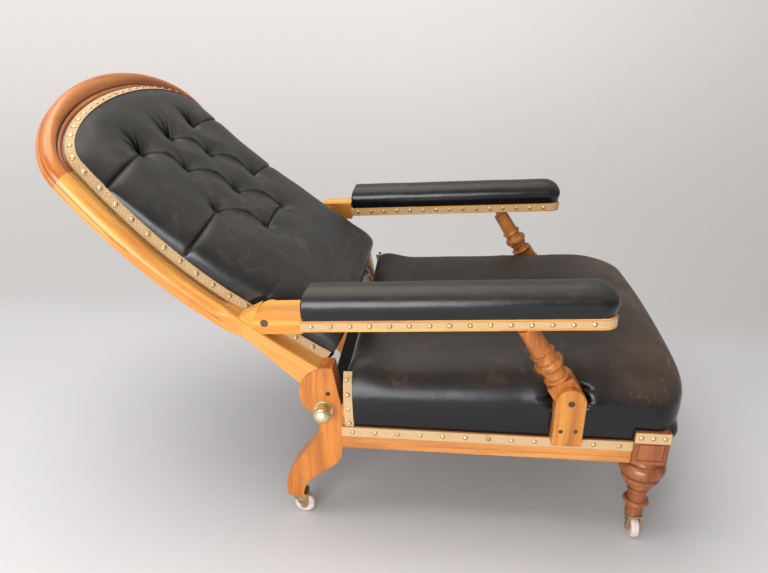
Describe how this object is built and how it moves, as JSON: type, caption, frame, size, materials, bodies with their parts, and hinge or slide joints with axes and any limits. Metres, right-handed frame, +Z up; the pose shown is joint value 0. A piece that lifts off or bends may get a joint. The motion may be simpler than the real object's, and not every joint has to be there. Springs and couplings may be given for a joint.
{
  "type": "reclining armchair",
  "caption": "Open-arm reclining easy chair with a bowed button-tufted back, stuffed seat, padded arms on turned supports, and four castors.",
  "frame": {"origin": "on the floor under the middle of the chair's outline at rest", "axes": "+X to the front, +Y to the sitter's left, +Z up"},
  "size_m": [1.0944, 0.6782, 0.7636],
  "materials": {
    "mahogany": "french-polished red-brown mahogany, glossy",
    "leather": "worn black hide, semi-gloss",
    "gimp": "woven beige braid",
    "webbing": "plain jute and hessian",
    "brass": "aged polished brass",
    "steel": "plain oiled iron and steel",
    "porcelain": null
  },
  "bodies": {
    "seat_frame": {"front_rail": "mahogany", "rear_rail": "mahogany", "side_rail_right": "mahogany", "side_rail_left": "mahogany", "front_leg_right": "mahogany", "front_leg_left": "mahogany", "rear_leg_right": "mahogany", "rear_leg_left": "mahogany", "support_bracket_right": "mahogany", "support_bracket_left": "mahogany", "bracket_screws": "steel", "support_pins": "steel", "hinge_pins": "steel", "knob_roses": "brass", "castor_sockets": "brass", "bolt_spring_right": "steel", "bolt_spring_left": "steel", "seat_webbing": "webbing", "seat_springs": "steel", "bottom_cloth": "webbing", "seat_cushion": "leather", "seat_gimp": "gimp", "seat_nails": "brass"},
    "back": {"back_stile_right": "mahogany", "back_stile_left": "mahogany", "crest_rail": "mahogany", "back_bottom_rail": "mahogany", "arm_ears": "mahogany", "back_cover": "leather", "back_cushion": "leather", "back_buttons": "leather", "back_gimp": "gimp", "back_nails": "brass", "hinge_plates": "steel", "hinge_plate_screws": "steel", "arm_rear_pins": "steel"},
    "arm_right": {"arm_rail_right": "mahogany", "arm_pad_right": "leather", "arm_gimp_right": "gimp", "arm_nails_right": "brass", "arm_front_pin_right": "steel"},
    "support_right": {"arm_support_right": "mahogany"},
    "lock_right": {"knob_right": "brass"},
    "arm_left": {"arm_rail_left": "mahogany", "arm_pad_left": "leather", "arm_gimp_left": "gimp", "arm_nails_left": "brass", "arm_front_pin_left": "steel"},
    "support_left": {"arm_support_left": "mahogany"},
    "lock_left": {"knob_left": "brass"},
    "fork_front_right": {"castor_fork_front_right": "brass"},
    "wheel_front_right": {"castor_wheel_front_right": "porcelain"},
    "fork_front_left": {"castor_fork_front_left": "brass"},
    "wheel_front_left": {"castor_wheel_front_left": "porcelain"},
    "fork_rear_right": {"castor_fork_rear_right": "brass"},
    "wheel_rear_right": {"castor_wheel_rear_right": "porcelain"},
    "fork_rear_left": {"castor_fork_rear_left": "brass"},
    "wheel_rear_left": {"castor_wheel_rear_left": "porcelain"}
  },
  "joints": [
    {"name": "back_recline", "type": "hinge", "parent": "seat_frame", "child": "back", "pos_m": [-0.06678, 0, 0.2705], "axis": [0, 1, 0], "range_deg": [0, 30]},
    {"name": "arm_right_pivot", "type": "hinge", "parent": "back", "child": "arm_right", "pos_m": [-0.16028, -0.302, 0.41511], "axis": [0, 1, 0], "range_deg": [-30, 0]},
    {"name": "support_right_pivot", "type": "hinge", "parent": "seat_frame", "child": "support_right", "pos_m": [0.33562, -0.299, 0.2917], "axis": [0, 1, 0], "range_deg": [0, 30]},
    {"name": "knob_right_pull", "type": "slide", "parent": "seat_frame", "child": "lock_right", "axis": [0, -1, 0], "range_m": [0, 0.008], "stiffness_N_per_m": 400, "springref_m": -0.01},
    {"name": "arm_left_pivot", "type": "hinge", "parent": "back", "child": "arm_left", "pos_m": [-0.16028, 0.302, 0.41511], "axis": [0, 1, 0], "range_deg": [-30, 0]},
    {"name": "support_left_pivot", "type": "hinge", "parent": "seat_frame", "child": "support_left", "pos_m": [0.33562, 0.299, 0.2917], "axis": [0, 1, 0], "range_deg": [0, 30]},
    {"name": "knob_left_pull", "type": "slide", "parent": "seat_frame", "child": "lock_left", "axis": [0, 1, 0], "range_m": [0, 0.008], "stiffness_N_per_m": 400, "springref_m": -0.01},
    {"name": "swivel_front_right", "type": "hinge", "parent": "seat_frame", "child": "fork_front_right", "pos_m": [0.47922, -0.28, 0.05], "axis": [0, 0, 1], "continuous": true},
    {"name": "spin_front_right", "type": "hinge", "parent": "fork_front_right", "child": "wheel_front_right", "pos_m": [0.47922, -0.291, 0.019], "axis": [1, 0, 0], "continuous": true},
    {"name": "swivel_front_left", "type": "hinge", "parent": "seat_frame", "child": "fork_front_left", "pos_m": [0.47922, 0.28, 0.05], "axis": [0, 0, 1], "continuous": true},
    {"name": "spin_front_left", "type": "hinge", "parent": "fork_front_left", "child": "wheel_front_left", "pos_m": [0.47922, 0.291, 0.019], "axis": [1, 0, 0], "continuous": true},
    {"name": "swivel_rear_right", "type": "hinge", "parent": "seat_frame", "child": "fork_rear_right", "pos_m": [-0.13178, -0.278, 0.05], "axis": [0, 0, 1], "continuous": true},
    {"name": "spin_rear_right", "type": "hinge", "parent": "fork_rear_right", "child": "wheel_rear_right", "pos_m": [-0.12078, -0.278, 0.019], "axis": [0, 1, 0], "continuous": true},
    {"name": "swivel_rear_left", "type": "hinge", "parent": "seat_frame", "child": "fork_rear_left", "pos_m": [-0.13178, 0.278, 0.05], "axis": [0, 0, 1], "continuous": true},
    {"name": "spin_rear_left", "type": "hinge", "parent": "fork_rear_left", "child": "wheel_rear_left", "pos_m": [-0.12078, 0.278, 0.019], "axis": [0, 1, 0], "continuous": true}
  ],
  "couplings": [
    {"joint": "arm_right_pivot", "follows": "back_recline", "ratio": -1},
    {"joint": "support_right_pivot", "follows": "back_recline", "ratio": 1},
    {"joint": "arm_left_pivot", "follows": "back_recline", "ratio": -1},
    {"joint": "support_left_pivot", "follows": "back_recline", "ratio": 1}
  ]
}
